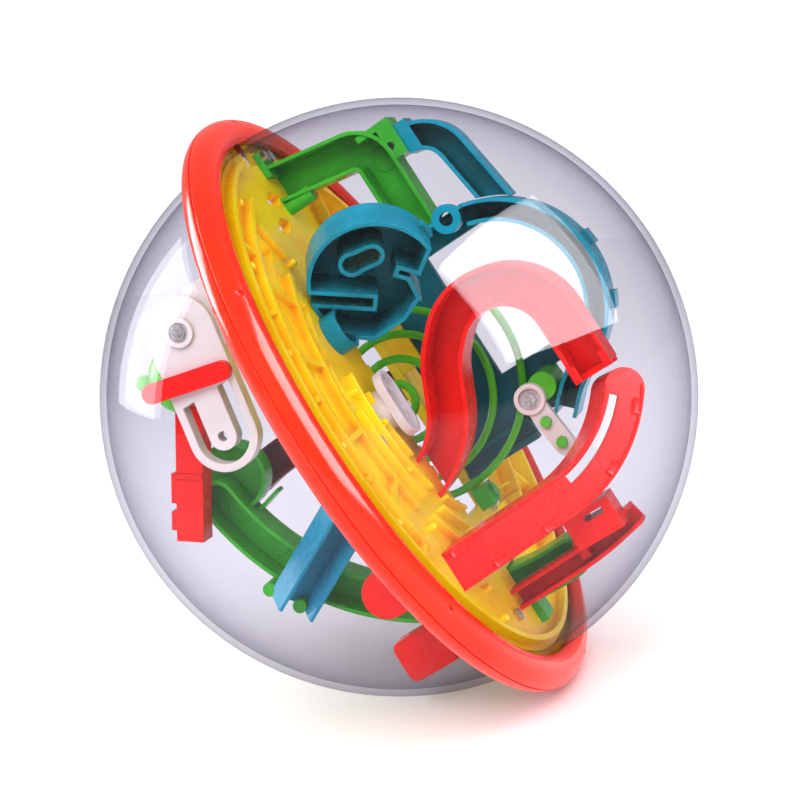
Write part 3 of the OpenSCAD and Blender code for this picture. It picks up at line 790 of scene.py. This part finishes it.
@dataclass
class Studio:
    """The pale floor, the soft lights and the camera."""

    camera_distance: float = 0.5
    camera_rise: float = 0.2755
    camera_turn: float = 57.3
    lens: float = 74.52
    frame_side: int = 800
    frame_shift: tuple[float, float] = (1.0, -3.0)
    floor_size: float = 6.0
    floor_cells: int = 8
    floor_gap: float = 0.0002
    floor_white: Colour = (0.91, 0.91, 0.91)
    floor_speck: Colour = (0.9, 0.9, 0.905)
    floor_roughness: float = 0.7
    room_light: float = 1.2
    room_gloss: float = 0.4
    backdrop: float = 1.08
    boxes: tuple[Softbox, ...] = (
        Softbox("key", (-0.35, 0.5, 0.85), 1.4, (1.1, 0.9), 18.0),
        Softbox("fill", (0.75, 0.1, 0.7), 1.5, (0.8, 1.0), 5.0),
        Softbox("window", (0.68, 0.6, 0.42), 0.55, (0.55, 0.42), 14.0, gloss_only=True),
        Softbox("side", (-0.92, 0.24, -0.3), 0.8, (0.4, 0.5), 9.0, gloss_only=True))

    def view_axes(self) -> tuple[Vector, Vector, Vector]:
        """The camera's axes.

        Returns:
            The directions to the right, up, and back towards the camera.
        """
        turn = Matrix.Rotation(TILT, 3, "Y")
        depth = math.sqrt(1 - self.camera_rise ** 2)
        back = turn @ Vector((0, -depth, self.camera_rise))
        along = turn @ Vector((0, self.camera_rise, depth))
        across = turn @ Vector((1, 0, 0))
        angle = math.radians(self.camera_turn)
        right = across * math.cos(angle) + along * math.sin(angle)
        up = along * math.cos(angle) - across * math.sin(angle)
        return right, up, back

    def add_camera(self) -> None:
        """Adds the camera and makes it the scene's own."""
        right, up, back = self.view_axes()
        lens = bpy.data.cameras.new("camera")
        lens.lens = self.lens
        lens.shift_x, lens.shift_y = (step / self.frame_side for step in self.frame_shift)
        camera = bpy.data.objects.new("camera", lens)
        place = Matrix((right, up, back)).transposed().to_4x4()
        place.translation = CENTRE + back * self.camera_distance
        camera.matrix_world = place
        bpy.context.scene.collection.objects.link(camera)
        bpy.context.scene.camera = camera

    def add_softbox(self, box: Softbox) -> None:
        """Adds a rectangular light that looks at the sphere.

        Args:
            box: the light's size, place and power. One that is gloss_only shows in glossy surfaces alone.
        """
        right, up, back = self.view_axes()
        direction = (right * box.way[0] + up * box.way[1] + back * box.way[2]).normalized()
        lamp = bpy.data.lights.new(box.name, "AREA")
        lamp.shape = "RECTANGLE"
        lamp.size, lamp.size_y = box.size
        lamp.energy = box.power
        stand = bpy.data.objects.new(box.name, lamp)
        stand.matrix_world = (Matrix.Translation(CENTRE + direction * box.distance)
                              @ direction.to_track_quat("Z", "Y").to_matrix().to_4x4())
        stand.visible_camera = False
        stand.visible_diffuse = not box.gloss_only
        stand.visible_glossy = box.gloss_only
        bpy.context.scene.collection.objects.link(stand)

    def add_floor(self) -> None:
        """Adds the pale floor that the sphere stands on."""
        Bench.clear()
        bpy.ops.mesh.primitive_grid_add(x_subdivisions=self.floor_cells, y_subdivisions=self.floor_cells,
                                        size=self.floor_size, location=(0, 0, -self.floor_gap))
        floor = bpy.context.active_object
        floor.name = "floor"
        bench = NodeBench("floor_white")
        shader = bench.add("ShaderNodeBsdfPrincipled")
        speck = bench.span(bench.noise(30.0, 3.0), 0.3, 0.7)
        bench.feed(shader.inputs["Base Color"], bench.blend(speck, self.floor_white, self.floor_speck))
        shader.inputs["Roughness"].default_value = self.floor_roughness
        floor.data.materials.append(bench.close(shader))

    def add_room(self) -> None:
        """Lights the scene all round with an even white."""
        world = bpy.data.worlds.new("room")
        world.use_nodes = True
        tree = world.node_tree
        sky = tree.nodes["Background"]
        sky.inputs["Color"].default_value = (1.0, 1.0, 1.0, 1.0)
        ray = tree.nodes.new("ShaderNodeLightPath")
        total = None
        for kind, power in (("Is Camera Ray", self.backdrop), ("Is Diffuse Ray", self.room_light),
                            ("Is Glossy Ray", self.room_gloss), ("Is Shadow Ray", self.room_light)):
            share = tree.nodes.new("ShaderNodeMath")
            share.operation = "MULTIPLY"
            tree.links.new(ray.outputs[kind], share.inputs[0])
            share.inputs[1].default_value = power
            if total is not None:
                most = tree.nodes.new("ShaderNodeMath")
                most.operation = "MAXIMUM"
                tree.links.new(total, most.inputs[0])
                tree.links.new(share.outputs[0], most.inputs[1])
                total = most.outputs[0]
            else:
                total = share.outputs[0]
        tree.links.new(total, sky.inputs["Strength"])
        bpy.context.scene.world = world
        bpy.context.scene.view_settings.view_transform = "Standard"

    def build(self) -> None:
        """Builds the floor, the lights and the camera."""
        self.add_room()
        self.add_floor()
        self.add_camera()
        for box in self.boxes:
            self.add_softbox(box)


def main() -> None:
    """Builds every sub-assembly in order, then the studio."""
    logging.basicConfig(level=logging.INFO, format="%(name)s: %(message)s")
    parts: Iterable[Assembly | Studio] = (SphereAndRim(), Deck(), UpperTracks(), LowerTracks(), Studio())
    for part in parts:
        part.build()
        LOG.info("built %s", type(part).__name__)


if __name__ == "__main__":
    main()
